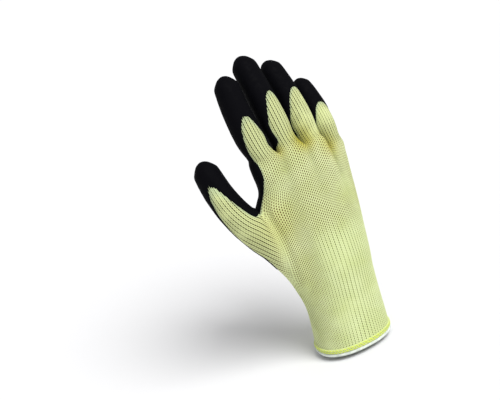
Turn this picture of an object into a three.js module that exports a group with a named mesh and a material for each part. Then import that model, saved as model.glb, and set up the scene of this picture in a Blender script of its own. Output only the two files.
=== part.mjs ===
// A right-hand work glove: a seamless knitted liner with a ribbed cuff, an overlocked hem and a dipped
// latex grip. Millimetres. +Z runs from the mouth of the cuff to the fingers, the back of the hand faces -Y
// and the thumb is at -X. The origin is the middle of the mouth.
import * as THREE from "three";

// The liner
const CUFF_LENGTH = 60; // from the mouth to the wrist
const HAND_LENGTH = 114; // from the wrist to the crotches between the fingers
const MOUTH_WIDTH = 64;
const MOUTH_DEPTH = 46;
const WRIST_WIDTH = 61;
const WRIST_DEPTH = 43;
const PALM_WIDTH = 84; // across the four fingers
const PALM_DEPTH = 34;
const KNIT_WALL = 1.6;

// The digits
const FINGER_LENGTH = 84; // the middle finger, from crotch to tip
const FINGER_FIT = 0.94; // width of a finger as a share of the palm it stands on
const THUMB_LENGTH = 93; // from the root in the palm to the tip
const THUMB_WIDTH = 23;

// The latex and the hem
const COAT_WALL = 0.9;
const HEM_WALL = 0.9;
const HEM_HEIGHT = 3;
const BAND_WALL = 0.7;
const BAND_HEIGHT = 3.8;
const CLEARANCE = 0.3; // between a piece and what it lies on
const ROUNDING = 0.4; // how much of an edge's wall is taken off its corners

// Every loop round the hand has these columns: column 0 is the middle of the little-finger side, the back of
// the hand follows, then the middle of the thumb side, then the palm.
const FINGER_EDGES = 4; // columns across the back of one finger
const COLUMNS = 36;
const HALF = COLUMNS / 2;
const LOOP = 12; // columns round a digit
const PALM_MIDDLE = 27; // the column down the middle of the palm
const PARTED_COLUMNS = 6; // the columns on each side of the thumb that move to make room for it
const BALL_COLUMN = 21; // the column down the ball of the thumb
const BALL_REACH = 3; // columns over which it falls away
const WEB_COLUMN = 16.6; // where the web of the thumb fills out the back
const WEB_REACH = 1.7;
const CROTCH_COATS = [-4, -4, 0.2]; // how far inside the latex each crotch lies, from the little finger's
const COLUMN_PITCH = PALM_WIDTH / 15; // mean width of a column across the palm
const DROP_POWER = 4; // how late on the way up the hand the crotches part in height

// Loops of the cuff. up: share of CUFF_LENGTH; flare: 0 at the wrist's section, 1 at the mouth's; flank: how
// far the thumb side bulges, as a share of PALM_WIDTH.
const CUFF_LOOPS = [
  { up: 0, flare: 1, flank: 0 },
  { up: 0.12, flare: 1, flank: 0 },
  { up: 0.4, flare: 0.6, flank: 0 },
  { up: 0.7, flare: 0.15, flank: 0.02 },
  { up: 1, flare: 0, flank: 0.08 },
];

// Loops of the hand. up: share of HAND_LENGTH; broad and thin: 0 at the wrist's section, 1 at the palm's;
// aside: shift to the little finger as a share of PALM_WIDTH; palmward: shift to the palm as a share of
// PALM_DEPTH; tilt: degrees that the loop leans to the palm; fan: how far the columns have gathered into
// fingers; open: degrees by which the columns beside the thumb part; flank: as in the cuff; ball: the ball
// of the thumb, arch: shift of the little finger to the palm, and valley: the dents between fingers, as
// shares of PALM_DEPTH; wrapThumb and wrapLittle: columns by which the latex passes the middle of each side
// on to the back.
const LOOP_FIELDS =
  "up broad thin aside palmward tilt fan open flank ball arch valley wrapThumb wrapLittle".split(" ");
const HAND_LOOPS = [
  [0, 0, 0, 0, 0, 0, 0, 0, 0.08, 0, 0, 0, -9, -9],
  [0.11, 0.08, 0.03, 0, 0, 0, 0, 8, 0.125, 0.03, 0, 0, -2.2, -2],
  [0.24, 0.2, 0.14, -0.008, 0.01, 0, 0.08, 11, 0.135, 0.08, 0.01, 0, -0.8, -1.2],
  [0.375, 0.38, 0.34, -0.018, 0.03, 0, 0.2, 12, 0.11, 0.11, 0.03, 0, -0.2, -0.8],
  [0.52, 0.57, 0.58, -0.028, 0.05, 1, 0.39, 9, 0.095, 0.08, 0.07, 0, 0.2, -0.7],
  [0.67, 0.72, 0.86, -0.032, 0.075, 3, 0.64, 4, 0.125, 0.03, 0.13, 0.01, 0.6, -0.6],
  [0.765, 0.82, 1.04, -0.034, 0.1, 5, 0.79, 0, 0.03, 0, 0.16, 0.02, 0.6, -0.6],
  [0.84, 0.9, 1.22, -0.035, 0.12, 6, 0.89, 0, 0, 0, 0.18, 0.03, 1.05, -0.6],
  [0.915, 0.97, 1.5, -0.034, 0.15, 8, 0.97, 0, 0, 0, 0.2, 0.05, 1.6, -0.5],
  [1, 1.04, 1.9, -0.03, 0.19, 9, 1, 0, 0, 0, 0.22, 0.07, 1.5, -0.5],
].map((row) => Object.fromEntries(LOOP_FIELDS.map((field, n) => [field, row[n]])));
const THUMB_FIRST_LOOP = 1; // the thumb leaves the hand between these loops
const THUMB_LAST_LOOP = 5;

// The fingers from the little one to the index. share: of PALM_WIDTH; long: share of FINGER_LENGTH;
// drop: how far its crotches lie below the highest, as a share of FINGER_LENGTH; spread: degrees to the
// thumb at its root and its tip; bends: degrees to its own palm side at the knuckle and the two joints; rise:
// how far the bare tongue of the back has closed at the root, 0 at the sides, 1 at the middle; tongue: share
// of its length at which it ends; lean: degrees that the tongue leans to the thumb side. The thumb has no
// drop, and two more. turn: degrees that its back faces the thumb side; shift: of its root to the fingers.
const DIGIT_FIELDS = "share long drop spread bends rise tongue lean turn shift".split(" ");
const FINGERS = [
  [0.212, 0.72, 0.16, [0, 5], [20, 14, 10], -0.5, 0.56, -18, 0, 0],
  [0.25, 0.89, 0.02, [4, 4], [18, 14, 10], -0.7, 0.6, -34, 0, 0],
  [0.27, 0.96, 0, [8, 1], [14, 12, 8], 0.05, 0.57, -28, 0, 0],
  [0.268, 0.855, 0.02, [16, -4], [8, 8, 6], 0.4, 0.54, -4, 0, 0],
].map((row) => Object.fromEntries(DIGIT_FIELDS.map((field, n) => [field, row[n]])));
const THUMB = {
  shift: 1.5,
  spread: [42, 24],
  turn: 40,
  bends: [6, 10, 10],
  rise: 0.2,
  tongue: 0.8,
  lean: -9,
};

// Loops along a digit. along: share of its straight part; wide: share of its full width; deep: of its width;
// slant: degrees by which the loop runs ahead on the side of the little finger; keep: how far it still has
// the outline of the opening that the digit stands on.
const FINGER_LOOPS = [
  { along: 0.11, wide: 0.88, deep: 0.98, slant: 0, keep: 0.1 },
  { along: 0.27, wide: 1, deep: 0.98, slant: 0, keep: 0 },
  { along: 0.45, wide: 1.01, deep: 0.98, slant: 0, keep: 0 },
  { along: 0.62, wide: 0.98, deep: 0.93, slant: 0, keep: 0 },
  { along: 0.8, wide: 0.94, deep: 0.88, slant: 0, keep: 0 },
  { along: 1, wide: 0.89, deep: 0.82, slant: 0, keep: 0 },
];
const THUMB_LOOPS = [
  { along: 0.2, wide: 1.16, deep: 1.2, slant: 50, keep: 0.08 },
  { along: 0.31, wide: 1.15, deep: 1.06, slant: 39, keep: 0 },
  { along: 0.44, wide: 1.06, deep: 1.02, slant: 23, keep: 0 },
  { along: 0.62, wide: 0.98, deep: 0.96, slant: 9, keep: 0 },
  { along: 0.83, wide: 0.92, deep: 0.88, slant: 0, keep: 0 },
  { along: 1, wide: 0.85, deep: 0.81, slant: 0, keep: 0 },
];
const TIP_ANGLES = [62, 36]; // degrees up the round end at which it has a loop
const TIP_LENGTH = 0.62; // of the round end, as a share of the width of the digit there
const TIP_SEAT = 0.94; // how far up the round end its outermost loop sits
const FULLY_COATED = 99; // how far a fingertip counts as inside the latex, in millimetres
const CURVE_COLUMNS = 3; // how broadly the lower edge of the latex curves across the middle of the palm
const ROOTS_COATED = 6; // the most that counts where the fingers begin, so that two crotches stay bare
const TONGUE_POWER = 1.6; // how late along a digit its bare tongue narrows, and how far past its end
const JOINTS_AT = [0.42, 0.72]; // share of a finger's length at its two joints
const JOINT_REACH = 0.16; // share of the length over which a joint bends
const SPINE_STEPS = 48;
const TURNED_AT = 0.35; // share of the length at which a digit has turned fully
const CORNER = Math.cos(Math.PI / 6); // where the outermost columns of a finger's back stand
const ROUNDNESS = 2.3; // power of the hand's section, 2 for an ellipse

const rad = THREE.MathUtils.degToRad;
const lerp = THREE.MathUtils.lerp;

// A point of a rounded section of half sizes 1, at an angle from the little-finger side over the back.
function roundPoint(angle, power) {
  const part = (v) => Math.sign(v) * Math.abs(v) ** (2 / power);
  return [part(Math.cos(angle)), part(Math.sin(angle))];
}

// Where each column stands across the hand once the columns have gathered into fingers, from 1 at the
// little-finger side to -1 at the thumb side.
function fingerStations() {
  const stations = [1];
  let edge = 1;
  for (const [n, finger] of FINGERS.entries()) {
    const half = finger.share;
    const low = n === 0 ? edge - half * (1 - CORNER) : edge;
    const high = n === FINGERS.length - 1 ? edge - half * (1 + CORNER) : edge - 2 * half;
    for (let k = n === 0 ? 0 : 1; k <= FINGER_EDGES; k++) {
      const turn = Math.cos(rad(30 + 30 * k)) / CORNER;
      stations.push(lerp(low, high, (1 - turn) / 2));
    }
    edge -= 2 * half;
  }
  stations.push(-1);
  return stations;
}
const STATIONS = fingerStations();

// The columns between two fingers dent the section, and the crotch of each finger lies at its own height.
const isValley = (column) => column % FINGER_EDGES === 1 && column > 1 && column < HALF - 1;
function crotchDrop(station) {
  let edge = 1;
  for (const finger of FINGERS) {
    edge -= 2 * finger.share;
    if (station >= edge - 1e-6) return finger.drop * FINGER_LENGTH;
  }
  return FINGERS.at(-1).drop * FINGER_LENGTH;
}

// The glove's outer surface as a net of four-sided cells. A point has its place and how far it lies inside
// the edge of the latex, in millimetres: above 0 it is coated.
const points = [];
const cuffCells = [];
const handCells = [];
const addPoint = (place, coated) => points.push({ place, coated }) - 1;
const addStrip = (cells, low, high, wanted = () => true) => {
  for (let i = 0; i < low.length; i++) {
    const next = (i + 1) % low.length;
    if (wanted(i)) cells.push([low[i], high[i], high[next], low[next]]);
  }
};

// How far a column of the hand lies inside the latex, in millimetres.
function handCoat(loop, column) {
  const turned = column < PALM_MIDDLE - HALF ? column + COLUMNS : column;
  const fromThumbSide = turned - (HALF - loop.wrapThumb);
  const fromLittleSide = COLUMNS + loop.wrapLittle - turned;
  const apart = Math.abs(fromThumbSide - fromLittleSide);
  const curve = CURVE_COLUMNS * Math.log(1 + Math.exp(-apart / CURVE_COLUMNS));
  const inside = COLUMN_PITCH * (Math.min(fromThumbSide, fromLittleSide) - curve);
  return loop.up === 1 ? Math.min(inside, ROOTS_COATED) : inside;
}

// How far a column near the middle of the thumb side bulges to that side.
const flankOf = (column, flank) =>
  Math.exp(-(((HALF - Math.min(column, COLUMNS - column)) / BALL_REACH) ** 2)) * flank * PALM_WIDTH;

function cuffLoop({ up, flare, flank }) {
  const width = lerp(WRIST_WIDTH, MOUTH_WIDTH, flare);
  const depth = lerp(WRIST_DEPTH, MOUTH_DEPTH, flare);
  const z = lerp(HEM_WALL + CLEARANCE, CUFF_LENGTH, up);
  return Array.from({ length: COLUMNS }, (_, column) => {
    const [x, y] = roundPoint((column / HALF) * Math.PI, ROUNDNESS);
    const aside = (x * width) / 2 - flankOf(column, flank);
    return addPoint(new THREE.Vector3(aside, (-y * depth) / 2, z), -1);
  });
}

function handLoop(loop) {
  const width = lerp(WRIST_WIDTH, PALM_WIDTH, loop.broad);
  const depth = lerp(WRIST_DEPTH, PALM_DEPTH, loop.thin);
  const centre = new THREE.Vector3(loop.aside * PALM_WIDTH, loop.palmward * PALM_DEPTH, 0);
  return Array.from({ length: COLUMNS }, (_, column) => {
    const side = column <= HALF ? column : COLUMNS - column;
    const parted = Math.max(0, (PARTED_COLUMNS - (HALF - side)) / (PARTED_COLUMNS - 1)) * loop.open;
    const [even] = roundPoint((side / HALF) * Math.PI - (side === HALF ? 0 : rad(parted)), ROUNDNESS);
    const x = lerp(even, STATIONS[side], loop.fan);
    const arch = (((x + 1) / 2) ** 2) * loop.arch * PALM_DEPTH;
    const bulge = (1 - Math.abs(x) ** ROUNDNESS) ** (1 / ROUNDNESS) || 0;
    const dent = isValley(side) ? loop.valley * PALM_DEPTH : 0;
    const toBack = column === 0 || column === HALF ? 0 : column < HALF ? -1 : 1;
    const swell = (middle, reach) =>
      Math.exp(-(((column - middle) / reach) ** 2)) * loop.ball * PALM_DEPTH;
    const ball = swell(BALL_COLUMN, BALL_REACH) - swell(WEB_COLUMN, WEB_REACH);
    const y = toBack * (bulge * (depth / 2) - dent) + ball + arch;
    const low = crotchDrop(STATIONS[side]) * loop.up ** DROP_POWER;
    const z = CUFF_LENGTH + loop.up * HAND_LENGTH - low - Math.tan(rad(loop.tilt)) * y;
    const place = new THREE.Vector3((x * width) / 2 - flankOf(column, loop.flank), y, z).add(centre);
    return addPoint(place, handCoat(loop, column));
  });
}

// The middle line of a digit: from a base, bending to the palm at its joints. Gives a frame at each share.
function spine(base, { spread, turn, bends }, length) {
  const frameAt = (share) => {
    const sideways = rad(lerp(spread[0], spread[1], THREE.MathUtils.smoothstep(share, 0, 1)));
    const up = new THREE.Vector3(-Math.sin(sideways), 0, Math.cos(sideways));
    const level = new THREE.Vector3(Math.cos(sideways), 0, Math.sin(sideways));
    const palm = new THREE.Vector3(0, 1, 0).applyAxisAngle(up, -rad(turn));
    const bendOf = (sum, at, n) =>
      sum + bends[n + 1] * THREE.MathUtils.smoothstep(share, at - JOINT_REACH, at + JOINT_REACH);
    const bend = rad(JOINTS_AT.reduce(bendOf, bends[0]));
    const forward = up.clone().multiplyScalar(Math.cos(bend)).addScaledVector(palm, Math.sin(bend));
    const aside = level.clone().applyAxisAngle(up, -rad(turn) * Math.min(1, share / TURNED_AT));
    aside.addScaledVector(forward, -aside.dot(forward)).normalize();
    return { forward, level, aside, palmward: new THREE.Vector3().crossVectors(forward, aside) };
  };
  return (share) => {
    const place = base.clone();
    const step = share / SPINE_STEPS;
    for (let n = 0; n < SPINE_STEPS; n++)
      place.addScaledVector(frameAt(step * (n + 0.5)).forward, step * length);
    return { place, ...frameAt(share) };
  };
}

// One loop of a digit: 12 columns, first its little-finger side, then its back, thumb side and palm side.
function digitLoop(frame, width, depth, slant, share, { tongue, rise, lean }) {
  const closed = lerp(rise, 1, Math.min(share / tongue, TONGUE_POWER) ** TONGUE_POWER);
  return Array.from({ length: LOOP }, (_, column) => {
    const angle = (column / LOOP) * 2 * Math.PI;
    const offset = frame.aside.clone().multiplyScalar((Math.cos(angle) * width) / 2);
    offset.addScaledVector(frame.palmward, (-Math.sin(angle) * depth) / 2);
    offset.addScaledVector(frame.forward, Math.tan(rad(slant)) * offset.dot(frame.level));
    return addPoint(offset.add(frame.place), (depth / 2) * (closed - Math.sin(angle - rad(lean))));
  });
}

// Closes a digit with a patch of 4 by 2 cells over its last loop.
function capDigit(loop, frame, length) {
  const [from, to] = [points[loop[6]].place, points[loop[0]].place];
  const middle = [0.5, 0, -0.5].map((share) => {
    const place = new THREE.Vector3().lerpVectors(from, to, (1 + share) / 2);
    return addPoint(place.addScaledVector(frame.forward, length * (1 - share * share)), FULLY_COATED);
  });
  const rows = [
    [loop[1], loop[2], loop[3], loop[4], loop[5]],
    [loop[0], ...middle, loop[6]],
    [loop[11], loop[10], loop[9], loop[8], loop[7]],
  ];
  for (let r = 0; r < 2; r++)
    for (let c = 0; c < FINGER_EDGES; c++)
      handCells.push([rows[r][c], rows[r + 1][c], rows[r + 1][c + 1], rows[r][c + 1]]);
}

// A digit that stands on a loop of the hand.
function addDigit(root, shape, length, loops, widthOf) {
  const base = new THREE.Vector3();
  for (const id of root) base.addScaledVector(points[id].place, 1 / root.length);
  const seat = base.clone().addScaledVector(spine(base, shape, length)(0).level, shape.shift);
  const frameAt = spine(seat, shape, length);
  const depthOf = (section) => section.deep * widthOf({ wide: 1 });
  const tipWidth = widthOf(loops.at(-1));
  const tipDepth = depthOf(loops.at(-1));
  const tipLength = TIP_LENGTH * tipWidth;
  const straight = length - tipLength;
  let below = root;
  const climb = (loop) => {
    addStrip(handCells, below, loop);
    below = loop;
  };
  for (const section of loops) {
    const share = (section.along * straight) / length;
    const frame = frameAt(share);
    const loop = digitLoop(frame, widthOf(section), depthOf(section), section.slant, share, shape);
    const moved = frame.place.clone().sub(base);
    root.forEach((id, n) => {
      const kept = points[id].place.clone().add(moved);
      points[loop[n]].place.lerp(kept, section.keep);
    });
    climb(loop);
  }
  let reached = 0;
  for (const angle of TIP_ANGLES) {
    reached = tipLength * TIP_SEAT * Math.cos(rad(angle));
    const share = (straight + reached) / length;
    const size = Math.sin(rad(angle));
    climb(digitLoop(frameAt(share), tipWidth * size, tipDepth * size, 0, share, shape));
  }
  capDigit(below, frameAt((straight + reached) / length), tipLength - reached);
}

const cuff = CUFF_LOOPS.map(cuffLoop);
cuff.slice(1).forEach((loop, n) => addStrip(cuffCells, cuff[n], loop));

const hand = HAND_LOOPS.map(handLoop);
const inThumbHole = (n, column) =>
  n >= THUMB_FIRST_LOOP && n < THUMB_LAST_LOOP && (column === HALF - 1 || column === HALF);
hand.slice(1).forEach((loop, n) => addStrip(handCells, hand[n], loop, (column) => !inThumbHole(n, column)));

// The fingers share a middle point in each crotch.
const top = hand.at(-1);
const crotches = [top[0]];
for (let n = 1; n < FINGERS.length; n++) {
  const [back, front] = [top[1 + n * FINGER_EDGES], top[COLUMNS - 1 - n * FINGER_EDGES]];
  const place = new THREE.Vector3().lerpVectors(points[back].place, points[front].place, 0.5);
  crotches.push(addPoint(place, CROTCH_COATS[n - 1]));
}
crotches.push(top[HALF]);
FINGERS.forEach((finger, n) => {
  const first = 1 + n * FINGER_EDGES;
  const backs = top.slice(first, first + FINGER_EDGES + 1);
  const fronts = top.slice(COLUMNS - first - FINGER_EDGES, COLUMNS - first + 1);
  const root = [crotches[n], ...backs, crotches[n + 1], ...fronts];
  const width = FINGER_FIT * finger.share * PALM_WIDTH;
  addDigit(root, finger, finger.long * FINGER_LENGTH, FINGER_LOOPS, (section) => section.wide * width);
});

// The opening that the thumb stands on, from its top over the back of the hand and up the palm.
const besideThumb = hand.slice(THUMB_FIRST_LOOP, THUMB_LAST_LOOP + 1);
const backEdge = besideThumb.map((loop) => loop[HALF - 1]).reverse();
const palmEdge = besideThumb.map((loop) => loop[HALF + 1]);
const thumbRoot = [besideThumb.at(-1)[HALF], ...backEdge, besideThumb[0][HALF], ...palmEdge];
addDigit(thumbRoot, THUMB, THUMB_LENGTH, THUMB_LOOPS, (section) => section.wide * THUMB_WIDTH);

// The outward direction at every point of the net.
function outwardDirections() {
  const sums = points.map(() => new THREE.Vector3());
  for (const cell of [...cuffCells, ...handCells]) {
    const [a, b, c, d] = cell.map((id) => points[id].place);
    const normal = new THREE.Vector3().crossVectors(c.clone().sub(a), d.clone().sub(b));
    for (const id of cell) sums[id].add(normal.normalize());
  }
  const level = (loop) => loop.forEach((id) => sums[id].setZ(0));
  [cuff[0], cuff[1], cuff.at(-1), hand[0]].forEach(level);
  return sums.map((sum) => sum.normalize());
}

const outward = outwardDirections();

// A wall of the net's cells between two distances from its surface, closed along its free edges. With an edge
// rule, only the part of each triangle where the rule is above 0 is kept.
function wallGeometry(cells, inner, outer, keep = () => 1) {
  const corners = new Map();
  const place = [];
  const cornerOf = (key, make) => {
    if (!corners.has(key)) corners.set(key, place.push(make()) - 1);
    return corners.get(key);
  };
  const own = (id) => cornerOf(`${id}`, () => ({ at: points[id].place.clone(), out: outward[id].clone() }));
  const cut = (a, b) => {
    const [low, high] = a < b ? [a, b] : [b, a];
    const share = keep(low) / (keep(low) - keep(high));
    return cornerOf(`${low} ${high}`, () => ({
      at: points[low].place.clone().lerp(points[high].place, share),
      out: outward[low].clone().lerp(outward[high], share).normalize(),
    }));
  };
  const faces = [];
  const gap = (one, other) => points[one].place.distanceTo(points[other].place);
  for (const [a, b, c, d] of cells) {
    const halves = gap(a, c) < gap(b, d) ? [[a, b, c], [a, c, d]] : [[a, b, d], [b, c, d]];
    for (const triangle of halves) {
      const ring = [];
      triangle.forEach((id, n) => {
        const next = triangle[(n + 1) % 3];
        if (keep(id) > 0) ring.push(own(id));
        if (keep(id) > 0 !== keep(next) > 0) ring.push(cut(id, next));
      });
      for (let n = 2; n < ring.length; n++) faces.push([ring[0], ring[n - 1], ring[n]]);
    }
  }
  const count = place.length;
  const open = new Map();
  for (const face of faces)
    face.forEach((id, n) => {
      const next = face[(n + 1) % 3];
      if (!open.delete(`${next} ${id}`)) open.set(`${id} ${next}`, [id, next]);
    });
  const index = faces.flatMap(([a, b, c]) => [a, b, c, c + count, b + count, a + count]);
  for (const [a, b] of open.values()) index.push(b, a, a + count, b, a + count, b + count);
  const offsets = [outer, inner].flatMap((distance) =>
    place.flatMap(({ at, out }) => at.clone().addScaledVector(out, distance).toArray()),
  );
  return new THREE.BufferGeometry()
    .setAttribute("position", new THREE.Float32BufferAttribute(offsets, 3))
    .setIndex(index);
}

// A ring round the mouth of the cuff. Its section is a list of [distance out of the cuff's surface, height].
function ringGeometry(section) {
  const corner = (id, [out, z]) => points[id].place.clone().setZ(z).addScaledVector(outward[id], out);
  const position = cuff[0].flatMap((id) => section.flatMap((point) => corner(id, point).toArray()));
  const index = [];
  for (let i = 0; i < COLUMNS; i++)
    for (let j = 0; j < section.length; j++) {
      const [a, b] = [i * section.length, ((i + 1) % COLUMNS) * section.length];
      const next = (j + 1) % section.length;
      index.push(a + j, b + next, a + next, a + j, b + j, b + next);
    }
  return new THREE.BufferGeometry()
    .setAttribute("position", new THREE.Float32BufferAttribute(position, 3))
    .setIndex(index);
}

// The hem folds over the cuff's edge as a thin channel.
function hemGeometry() {
  const far = CLEARANCE + HEM_WALL;
  const round = HEM_WALL * ROUNDING;
  return ringGeometry([
    [far, round],
    [far - round, 0],
    [round - KNIT_WALL - far, 0],
    [-KNIT_WALL - far, round],
    [-KNIT_WALL - far, HEM_HEIGHT],
    [-KNIT_WALL - CLEARANCE, HEM_HEIGHT],
    [-KNIT_WALL - CLEARANCE, HEM_WALL],
    [CLEARANCE, HEM_WALL],
    [CLEARANCE, HEM_HEIGHT],
    [far, HEM_HEIGHT],
  ]);
}

function bandGeometry() {
  const low = HEM_HEIGHT + CLEARANCE;
  const high = low + BAND_HEIGHT;
  const far = CLEARANCE + BAND_WALL;
  const round = BAND_WALL * ROUNDING;
  return ringGeometry([
    [CLEARANCE, low],
    [CLEARANCE, high],
    [far - round, high],
    [far, high - round],
    [far, low + round],
    [far - round, low],
  ]);
}

const knit = new THREE.MeshStandardMaterial({ color: 0xc8d68c, roughness: 0.95 });
const rib = new THREE.MeshStandardMaterial({ color: 0xcede94, roughness: 0.95 });
const latex = new THREE.MeshStandardMaterial({ color: 0x101115, roughness: 0.75 });
const hemThread = new THREE.MeshStandardMaterial({ color: 0xd3ddd2, roughness: 0.9 });
const bandThread = new THREE.MeshStandardMaterial({ color: 0xd4e858, roughness: 0.9 });

const glove = new THREE.Group();
function addPiece(name, geometry, material) {
  geometry.computeVertexNormals();
  const piece = new THREE.Mesh(geometry, material);
  piece.name = name;
  glove.add(piece);
  return piece;
}

addPiece("rib_cuff", wallGeometry(cuffCells, -KNIT_WALL, 0), rib);
addPiece("knit_shell", wallGeometry(handCells, -KNIT_WALL, 0), knit).position.z = CLEARANCE;
const coated = (id) => points[id].coated;
const coat = wallGeometry(handCells, CLEARANCE, CLEARANCE + COAT_WALL, coated);
addPiece("latex_coating", coat, latex).position.z = CLEARANCE;
addPiece("hem_edge", hemGeometry(), hemThread);
addPiece("overlock_band", bandGeometry(), bandThread);

export default glove;
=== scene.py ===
# %% [markdown]
# # A knitted work glove with a dipped latex grip
# The glove is a right-hand one, seen from the back of the hand. Its solids come in as a fixed frame, and
# this lesson gives them their looks: knitted fabric, latex, and the sewn edge of the cuff. Every measure
# below is in millimetres, and each finished mesh is brought to metres at the end of its cell.

# %% Load the frame
import math
import bpy
import bmesh
from mathutils import Matrix, Quaternion, Vector, noise


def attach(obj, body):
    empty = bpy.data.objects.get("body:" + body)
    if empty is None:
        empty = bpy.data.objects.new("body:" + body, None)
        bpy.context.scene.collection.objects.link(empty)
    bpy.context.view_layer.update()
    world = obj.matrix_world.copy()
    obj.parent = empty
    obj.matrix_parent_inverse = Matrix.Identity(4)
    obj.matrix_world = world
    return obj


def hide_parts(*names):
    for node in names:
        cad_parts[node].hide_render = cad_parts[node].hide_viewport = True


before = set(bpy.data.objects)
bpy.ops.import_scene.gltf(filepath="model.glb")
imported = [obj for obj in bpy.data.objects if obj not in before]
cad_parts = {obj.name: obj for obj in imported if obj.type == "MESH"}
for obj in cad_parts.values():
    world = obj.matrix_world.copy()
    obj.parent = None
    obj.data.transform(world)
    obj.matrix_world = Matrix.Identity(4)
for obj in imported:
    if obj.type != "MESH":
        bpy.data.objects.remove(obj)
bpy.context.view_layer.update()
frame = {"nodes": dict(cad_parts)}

MM = 0.001


def link_object(name, data):
    """A new object in the scene, at the origin and unturned."""
    made = bpy.data.objects.new(name, data)
    bpy.context.collection.objects.link(made)
    return made


print("solids:", sorted(frame["nodes"]))

# %% [markdown]
# ## The measures of the glove
# A glove is a tube that grows five smaller tubes. The measures are those of the solids, so that the fabric
# lies where they are. The tables hold one row for each ring of stitches that shapes the glove, as shares of
# the measures, so that a longer palm or a wider wrist carries all its rings along.

# %% Measures
CUFF_LENGTH = 60
HAND_LENGTH = 114
MOUTH_WIDTH, MOUTH_DEPTH = 64, 46
WRIST_WIDTH, WRIST_DEPTH = 61, 43
PALM_WIDTH, PALM_DEPTH = 84, 34
KNIT_WALL = 1.6
FINGER_LENGTH = 84
FINGER_FIT = 0.94
THUMB_LENGTH = 93
THUMB_WIDTH = 23
CLEARANCE = 0.3
HEM_WALL = 0.9

COLUMNS = 36
HALF = COLUMNS // 2
FINGER_EDGES = 4
LOOP = 12
LOOP_STEP = 360 / LOOP
PALM_MIDDLE = 27
PARTED_COLUMNS = 6
BALL_COLUMN, BALL_REACH = 21, 3
WEB_COLUMN, WEB_REACH = 16.6, 1.7
COLUMNS_ACROSS = 15
COLUMN_PITCH = PALM_WIDTH / COLUMNS_ACROSS
DROP_POWER = 4
CROTCH_COATS = (-4, -4, 0.2)
ROUNDNESS = 2.3
CORNER = math.cos(math.radians(LOOP_STEP))

CUFF_ROWS = [(0, 1, 0), (0.12, 1, 0), (0.4, 0.6, 0), (0.7, 0.15, 0.02), (1, 0, 0.08)]
HAND_FIELDS = ("up broad thin aside palmward tilt fan open flank "
               "ball arch valley wrap_thumb wrap_little").split()
HAND_TABLE = [
    [0, 0, 0, 0, 0, 0, 0, 0, 0.08, 0, 0, 0, -9, -9],
    [0.11, 0.08, 0.03, 0, 0, 0, 0, 8, 0.125, 0.03, 0, 0, -2.2, -2],
    [0.24, 0.2, 0.14, -0.008, 0.01, 0, 0.08, 11, 0.135, 0.08, 0.01, 0, -0.8, -1.2],
    [0.375, 0.38, 0.34, -0.018, 0.03, 0, 0.2, 12, 0.11, 0.11, 0.03, 0, -0.2, -0.8],
    [0.52, 0.57, 0.58, -0.028, 0.05, 1, 0.39, 9, 0.095, 0.08, 0.07, 0, 0.2, -0.7],
    [0.67, 0.72, 0.86, -0.032, 0.075, 3, 0.64, 4, 0.125, 0.03, 0.13, 0.01, 0.6, -0.6],
    [0.765, 0.82, 1.04, -0.034, 0.1, 5, 0.79, 0, 0.03, 0, 0.16, 0.02, 0.6, -0.6],
    [0.84, 0.9, 1.22, -0.035, 0.12, 6, 0.89, 0, 0, 0, 0.18, 0.03, 1.05, -0.6],
    [0.915, 0.97, 1.5, -0.034, 0.15, 8, 0.97, 0, 0, 0, 0.2, 0.05, 1.6, -0.5],
    [1, 1.04, 1.9, -0.03, 0.19, 9, 1, 0, 0, 0, 0.22, 0.07, 1.5, -0.5],
]
HAND_ROWS = [dict(zip(HAND_FIELDS, row)) for row in HAND_TABLE]
THUMB_FIRST_ROW, THUMB_LAST_ROW = 1, 5

PLAIN = {"shift": 0, "turn": 0, "lean": -15}
FINGERS = [
    {**PLAIN, "share": 0.212, "long": 0.72, "drop": 0.16, "spread": (0, 5), "bends": (20, 14, 10),
     "rise": -0.5, "tongue": 0.56, "lean": -18},
    {**PLAIN, "share": 0.25, "long": 0.89, "drop": 0.02, "spread": (4, 4), "bends": (18, 14, 10),
     "rise": -0.7, "tongue": 0.6, "lean": -34},
    {**PLAIN, "share": 0.27, "long": 0.96, "drop": 0, "spread": (8, 1), "bends": (14, 12, 8),
     "rise": 0.05, "tongue": 0.57, "lean": -28},
    {**PLAIN, "share": 0.268, "long": 0.855, "drop": 0.02, "spread": (16, -4), "bends": (8, 8, 6),
     "rise": 0.4, "tongue": 0.54, "lean": -4},
]
THUMB = {"shift": 1.5, "spread": (42, 24), "turn": 40, "bends": (6, 10, 10),
         "rise": 0.2, "tongue": 0.8, "lean": -9}
DIGIT_FIELDS = "along wide deep slant keep".split()
FINGER_ROWS = [dict(zip(DIGIT_FIELDS, row)) for row in [
    [0.11, 0.88, 0.98, 0, 0.1],
    [0.27, 1, 0.98, 0, 0],
    [0.45, 1.01, 0.98, 0, 0],
    [0.62, 0.98, 0.93, 0, 0],
    [0.8, 0.94, 0.88, 0, 0],
    [1, 0.89, 0.82, 0, 0],
]]
THUMB_ROWS = [dict(zip(DIGIT_FIELDS, row)) for row in [
    [0.2, 1.16, 1.2, 50, 0.08],
    [0.31, 1.15, 1.06, 39, 0],
    [0.44, 1.06, 1.02, 23, 0],
    [0.62, 0.98, 0.96, 9, 0],
    [0.83, 0.92, 0.88, 0, 0],
    [1, 0.85, 0.81, 0, 0],
]]
TIP_ANGLES = (62, 36)
TIP_LENGTH = 0.62
TIP_SEAT = 0.94
FULLY_COATED = 9
ROOTS_COATED = 6
CURVE_COLUMNS = 3
TONGUE_POWER = 1.6
JOINTS_AT = (0.42, 0.72)
JOINT_REACH = 0.16
SPINE_STEPS = 48
TURNED_AT = 0.35
print("rings:", len(CUFF_ROWS), "in the cuff,", len(HAND_ROWS), "in the hand")

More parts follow.
